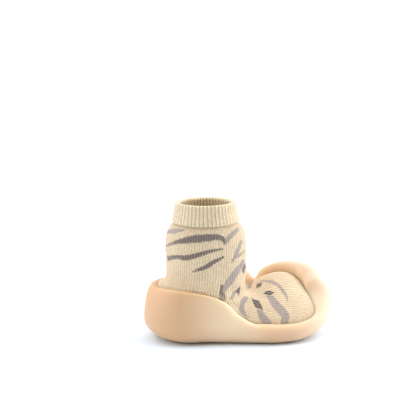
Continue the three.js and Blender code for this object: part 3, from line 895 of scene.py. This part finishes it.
def knit_material(name, ground, wales, courses, vee=0.5, bump=0.5, gap_shade=0.45, striped=False):
    board = Board(name)
    chart = board.node("ShaderNodeUVMap", {"uv_map": "chart"})
    across, up = (board.node("ShaderNodeSeparateXYZ", {}, [chart], output=k) for k in (0, 1))
    side = ((across * wales).maths("FRACT") - 0.5).maths("ABSOLUTE") * 2
    along = (up * courses + side * vee).maths("FRACT")
    yarn_round = (along * pi).maths("SINE")
    gap = board.ramp(side, 0.35, 1.0)
    position = place_on(board)
    fuzz = board.noise(position, 2600, detail=3)
    uneven = board.noise(position, 750, detail=2)
    patches = board.noise(position, 120, detail=3)
    base = ground
    if striped:
        away = board.node("ShaderNodeAttribute", {"attribute_name": "away"}, output=2)
        yarn = board.node("ShaderNodeVertexColor", {"layer_name": "yarn"})
        edge = away + side * 0.7 + along * 0.5 + (uneven - 0.5) * 1.2 - 0.6
        base = board.blend(board.ramp(edge, 0.3, -0.3) * (1 - gap * 0.3), ground, yarn)
    warm = board.blend(1.0, base, (0.62, 0.5, 0.36, 1), "MULTIPLY")
    if striped:
        # Painted highlight: the raised loops of the ridge above the rubber are painted paler.
        ridge = board.node("ShaderNodeAttribute", {"attribute_name": "ridge"}, output=2)
        base = board.blend(ridge * 0.6, base, RIDGE_HIGHLIGHT)
    # Painted shade: the gaps between the cords and the dips between the loops are painted darker and warmer.
    shaded = board.blend(gap * gap_shade + (1 - yarn_round) * 0.2, base, warm)
    grey = (patches - 0.5) * 0.2 + (uneven - 0.5) * 0.5 + (fuzz - 0.5) * 0.3 + 1
    tinted = board.blend(1.0, shaded, board.node("ShaderNodeCombineColor", {}, [grey, grey, grey]), "MULTIPLY")
    relief = (1 - gap) * 0.5 + yarn_round * 0.4 + (fuzz - 0.5) * 0.5 + (uneven - 0.5) * 0.8
    normal = board.node("ShaderNodeBump", {}, {"Strength": bump, "Distance": 0.4 * mm, "Height": relief})
    material = board.finish(Base_Color=tinted, Normal=normal, Roughness=0.95)
    board.shader.inputs["Sheen Weight"].default_value = 0.9
    board.shader.inputs["Sheen Roughness"].default_value = 0.4
    board.shader.inputs["Specular IOR Level"].default_value = 0.15
    return material


CREAM = (*YARNS["cream"], 1)


knit = knit_material("cotton_knit", CREAM, WALES, COURSES, striped=True)
# The rib's gaps get strong painted shade.
rib = knit_material("rib_knit", (0.88, 0.75, 0.54, 1), RIBS, 16, vee=0.3, gap_shade=0.9)
cloth = knit_material("insole_cloth", (0.55, 0.42, 0.26, 1), 1, 1, bump=0.1, gap_shade=0)

# %% [markdown]
# ## Soft rubber
# The rubber lets some light in, so its thin lip glows warmer than the thick wall; that glow is painted
# into its colour along the lip. Painted light and shade are in the colour too: paler towards the toe and
# across the waist, darker low on the wall near the floor and at the back of the heel. Besides, it is never
# quite even: there are faint clouds of lighter and darker tint. Its surface is satin with a very fine
# grain from the mould. Subsurface scattering gives the depth, and the gloss comes from the shader.

# %% Rubber material
# Painted light on the rubber: its colour is painted paler from TOE_FROM to TOE_TO and near the waist's middle.
TOE_FROM, TOE_TO = 10 * mm, 62 * mm
WAIST_MIDDLE, WAIST_HALF = -8 * mm, 38 * mm
# Painted shade on the rubber: its colour is painted darker behind HEEL_FROM, at the back of the heel.
HEEL_FROM, HEEL_TO = -50 * mm, -66 * mm
# deep and body: the darker and paler tints, mixed by faint clouds and by painted light; toe: painted light at the
# toe; ground: painted shade low on the wall and at the heel; lip: painted glow of the thin lip.
RUBBER = {
    "deep": (0.66, 0.4, 0.21, 1),
    "body": (0.93, 0.71, 0.49, 1),
    "toe": (0.86, 0.68, 0.52, 1),
    "ground": (0.68, 0.42, 0.25, 1),
    "lip": (0.88, 0.64, 0.41, 1),
}


def rubber_material():
    board = Board("soft_rubber")
    position = place_on(board)
    clouds = board.noise(position, 26, detail=2)
    grain = board.noise(position, 1500, detail=2)
    lip_glow_mask = board.node("ShaderNodeAttribute", {"attribute_name": "thin"}, output=2)
    forward, height = (board.node("ShaderNodeSeparateXYZ", {}, [position], output=k) for k in (0, 2))
    # Painted light: the colour is painted paler towards the toe and across the waist.
    toe = board.ramp(forward, TOE_FROM, TOE_TO)
    # Painted shade: the colour is painted darker low on the wall near the floor and at the back of the heel.
    low = board.ramp(height, 15 * mm, 0)
    waist_light = board.ramp((forward - WAIST_MIDDLE).maths("ABSOLUTE"), WAIST_HALF, 0)
    heel_edge_shade = board.ramp(forward, HEEL_FROM, HEEL_TO)
    body = board.blend(clouds * 0.5 + toe * 0.3 + waist_light * 0.8, RUBBER["deep"], RUBBER["body"])
    lit_toe = board.blend(toe * 0.75, body, RUBBER["toe"])
    lower = board.blend((low * 0.6).maths("MAXIMUM", heel_edge_shade * 0.7), lit_toe, RUBBER["ground"])
    # Painted glow: the thin lip is painted warmer, as if lit through.
    tint = board.blend(lip_glow_mask * 0.5, lower, RUBBER["lip"])
    normal = board.node("ShaderNodeBump", {}, {"Strength": 0.12, "Distance": 0.2 * mm, "Height": grain})
    roughness = clouds * 0.1 + 0.42
    material = board.finish(Base_Color=tint, Normal=normal, Roughness=roughness)
    board.shader.inputs["Subsurface Weight"].default_value = 0.6
    board.shader.inputs["Subsurface Radius"].default_value = (1.0, 0.6, 0.35)
    board.shader.inputs["Subsurface Scale"].default_value = 6 * mm
    board.shader.inputs["Specular IOR Level"].default_value = 0.35
    return material


rubber = rubber_material()

# %% Dress the pieces
DRESS = [
    (knit_upper, "knit_upper", "knit", knit),
    (rib_cuff, "rib_cuff", "rib", rib),
    (moulded_sole, "moulded_sole", "soft_rubber", rubber),
    (fine_insole, "insole", "insole_cloth", cloth),
]
for piece, node, slot, material in DRESS:
    piece.data.materials.clear()
    piece.data.materials.append(material)
    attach(piece, "root")
    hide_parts(node)

# %% [markdown]
# ## Floor and light
# The shoe stands on a plain pale floor in a bright tent of light. The world gives the even light of the
# tent, and large soft lamps above and at the sides give the shoe its shape. Far from the lamps the paper
# would turn grey, so it fades out into the backdrop before it gets there.

# %% Floor
floor_mesh = bmesh.new()
bmesh.ops.create_grid(floor_mesh, x_segments=1, y_segments=1, size=3)
stage_floor = finish_piece("stage_floor", floor_mesh)
paper = Board("pale_paper")
paper_x, paper_y = (paper.node("ShaderNodeSeparateXYZ", {}, [place_on(paper)], output=k) for k in (0, 1))
far_off = (paper_x * paper_x + paper_y * paper_y).maths("SQRT")
stays = paper.ramp(far_off, 1.0, 0.45)
stage_floor.data.materials.append(paper.finish(Base_Color=(0.82, 0.91, 1, 1), Roughness=0.8, Alpha=stays))

# %% Lights
world = bpy.data.worlds.new("light_tent")
world.use_nodes = True
tent = world.node_tree
backdrop = tent.nodes["Background"]
backdrop.inputs["Color"].default_value = (0.97, 0.985, 1, 1)
seen = tent.nodes.new("ShaderNodeLightPath")
strength = tent.nodes.new("ShaderNodeMapRange")
strength.inputs["To Min"].default_value = 0.27
strength.inputs["To Max"].default_value = 1.05
tent.links.new(seen.outputs["Is Camera Ray"], strength.inputs["Value"])
tent.links.new(strength.outputs["Result"], backdrop.inputs["Strength"])
bpy.context.scene.world = world
bpy.context.scene.view_settings.view_transform = "Standard"

LAMPS = [
    ("top_lamp", (0.05, 0.3, 0.9), 1.6, 11),
    ("left_lamp", (-0.85, 0, 0.6), 1.2, 9),
    ("right_lamp", (0.85, 0, 0.45), 1.0, 11),
]
for name, where, size, power in LAMPS:
    lamp = bpy.data.lights.new(name, "AREA")
    lamp.size = size
    lamp.energy = power
    lamp_object = bpy.data.objects.new(name, lamp)
    aim = Vector((0, 0, 0.04)) - Vector(where)
    turn = aim.to_track_quat("-Z", "Y").to_matrix().to_4x4()
    lamp_object.matrix_world = Matrix.Translation(Vector(where)) @ turn
    bpy.context.scene.collection.objects.link(lamp_object)
